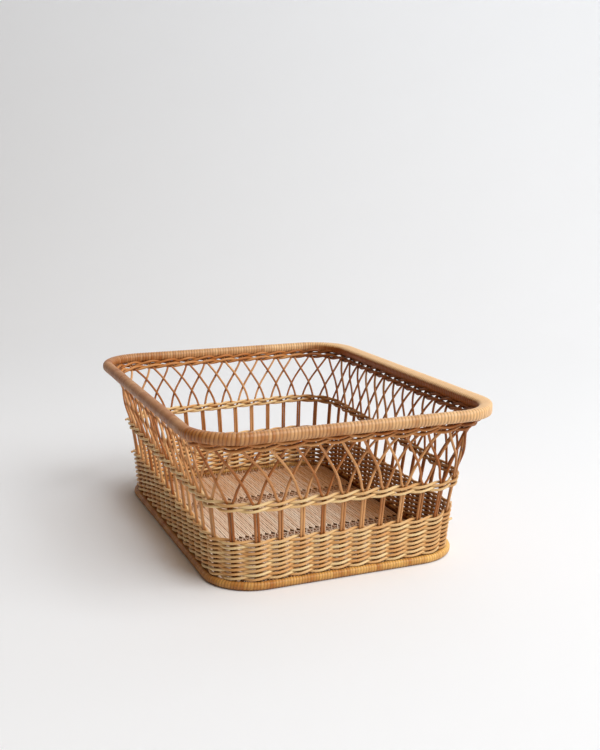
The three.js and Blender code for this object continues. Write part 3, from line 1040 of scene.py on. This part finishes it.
class BASKET_OT_stage(bpy.types.Operator):
    """Pale floor and backdrop, soft light and the camera"""
    bl_idname = "basket.stage"
    bl_label = "Stage"

    # The camera's place, seen from the middle of the foot, and how far it looks aside and over it
    distance = 1.33886
    azimuth = math.radians(-21.7949)
    elevation = math.radians(19.7963)
    pan = math.radians(1.1358)
    tilt = math.radians(8.1012)
    lens = 47.951
    sensor = 36.0
    # The sweep, in metres: its width, where it begins to curve up, and how tightly
    sweep_size = 12
    sweep_cuts = 60
    curve_start = 1.1
    curve_radius = 1.0
    # The window is a large soft lamp at the right, in metres and watts
    window_place = (1.66, -2.14, 3.3)
    window_aim = (0, 0, 0.1)
    window_size = 3.4
    window_power = 186
    window_colour = (0.96, 0.985, 1.0)
    # Light from all round: its colour, where it is brightest, and its least and most strength
    room_colour = (1.0, 0.79, 0.6)
    room_side = (0.5, -0.1, 0.86)
    room_least = 0.05
    room_most = 0.4
    # The wall that the camera sees beyond the sweep
    wall_colour = (0.86, 0.87, 0.89)

    def camera(self, context):
        back = Vector((math.sin(self.azimuth) * math.cos(self.elevation),
                       -math.cos(self.azimuth) * math.cos(self.elevation), math.sin(self.elevation)))
        right = Vector((math.cos(self.azimuth), math.sin(self.azimuth), 0))
        up = back.cross(right)
        turned_back = math.cos(self.pan) * back - math.sin(self.pan) * right
        turned_right = math.cos(self.pan) * right + math.sin(self.pan) * back
        tilted_back = math.cos(self.tilt) * turned_back - math.sin(self.tilt) * up
        tilted_up = math.cos(self.tilt) * up + math.sin(self.tilt) * turned_back
        bpy.ops.object.camera_add(location=self.distance * back)
        camera = bpy.context.object
        camera.name = "basket_camera"
        turn = Matrix((turned_right, tilted_up, tilted_back)).transposed()
        camera.matrix_world = Matrix.Translation(self.distance * back) @ turn.to_4x4()
        camera.data.sensor_fit = "AUTO"
        camera.data.sensor_width = self.sensor
        camera.data.lens = self.lens
        context.scene.camera = camera

    def sweep(self, colours):
        """Floor that curves up into a backdrop."""
        bpy.ops.object.select_all(action="DESELECT")
        bpy.ops.mesh.primitive_plane_add(size=self.sweep_size, location=(0, 0, 0))
        ground = bpy.context.object
        ground.name = "stage_sweep"
        bpy.ops.object.transform_apply(location=True, rotation=True, scale=True)
        bpy.ops.object.mode_set(mode="EDIT")
        bpy.ops.mesh.select_all(action="SELECT")
        bpy.ops.mesh.subdivide(number_cuts=self.sweep_cuts)
        bpy.ops.object.mode_set(mode="OBJECT")
        away = Vector((-math.sin(self.azimuth), math.cos(self.azimuth), 0))
        radius = self.curve_radius
        for vertex in ground.data.vertices:
            run = vertex.co.dot(away) - self.curve_start
            if run <= 0:
                continue
            angle = min(run / radius, math.pi / 2)
            beyond = max(0.0, run - radius * math.pi / 2)
            vertex.co += away * (radius * math.sin(angle) - run)
            vertex.co.z = radius * (1 - math.cos(angle)) + beyond
        bpy.ops.object.shade_smooth()
        # Matt studio paper: pale and even, so that only the basket's shadow shows on it
        ground.data.materials.append(paper_material("matt_paper", colours.ground, roughness=0.9))

    def window(self):
        bpy.ops.object.light_add(type="AREA", location=self.window_place)
        lamp = bpy.context.object
        lamp.name = "window_right"
        lamp.data.shape = "RECTANGLE"
        lamp.data.size = self.window_size
        lamp.data.size_y = self.window_size
        lamp.data.energy = self.window_power
        lamp.data.color = self.window_colour
        aim = Vector(self.window_aim) - Vector(self.window_place)
        lamp.rotation_euler = aim.to_track_quat("-Z", "Y").to_euler()

    def surround(self, context):
        """Warm light from all round, brighter above and on the window's side."""
        world = bpy.data.worlds.new("studio")
        world.use_nodes = True
        tree = world.node_tree
        background = tree.nodes["Background"]
        background.inputs["Color"].default_value = colour4(self.room_colour)
        toward = add_node(tree, "TexCoord").outputs["Generated"]
        facing = add_node(tree, "VectorMath", {"operation": "DOT_PRODUCT"}, i0=toward,
                          i1=self.room_side).outputs["Value"]
        level = add_node(tree, "MapRange", i0=facing, i1=0.0, i2=1.0, i3=self.room_least,
                         i4=self.room_most).outputs[0]
        tree.links.new(level, background.inputs["Strength"])
        # Beyond the sweep the camera sees pale wall
        wall = add_node(tree, "Background", Color=colour4(self.wall_colour))
        seen = add_node(tree, "LightPath").outputs["Is Camera Ray"]
        both = add_node(tree, "MixShader", i0=seen, i1=background.outputs[0], i2=wall.outputs[0])
        tree.links.new(both.outputs[0], tree.nodes["World Output"].inputs["Surface"])
        context.scene.world = world

    def execute(self, context):
        self.camera(context)
        self.sweep(context.scene.basket_colours)
        self.window()
        self.surround(context)
        context.scene.view_settings.view_transform = "Standard"
        return {"FINISHED"}


STEPS = ("stage", "bare_poles", "wound_rim", "wound_foot", "woven_floor", "lattice_canes", "twined_rows")


class BASKET_PT_panel(bpy.types.Panel):
    """Lists the steps that build the basket"""
    bl_idname = "BASKET_PT_panel"
    bl_label = "Rattan basket"
    bl_space_type = "VIEW_3D"
    bl_region_type = "UI"
    bl_category = "Basket"

    def draw(self, context):
        for group in (context.scene.basket_sizes, context.scene.basket_colours):
            box = self.layout.box()
            for name in group.bl_rna.properties.keys():
                if name not in ("rna_type", "name"):
                    box.prop(group, name)
        for step in STEPS:
            self.layout.operator(f"basket.{step}")


CLASSES = (BasketSizes, BasketColours, BASKET_OT_stage, BASKET_OT_bare_poles, BASKET_OT_wound_rim,
           BASKET_OT_wound_foot, BASKET_OT_woven_floor, BASKET_OT_lattice_canes, BASKET_OT_twined_rows,
           BASKET_PT_panel)


def register():
    for entry in CLASSES:
        bpy.utils.register_class(entry)
    bpy.types.Scene.basket_sizes = bpy.props.PointerProperty(type=BasketSizes)
    bpy.types.Scene.basket_colours = bpy.props.PointerProperty(type=BasketColours)


def unregister():
    del bpy.types.Scene.basket_colours
    del bpy.types.Scene.basket_sizes
    for entry in reversed(CLASSES):
        bpy.utils.unregister_class(entry)


def main():
    register()
    for step in STEPS:
        getattr(bpy.ops.basket, step)()


if __name__ == "__main__":
    main()
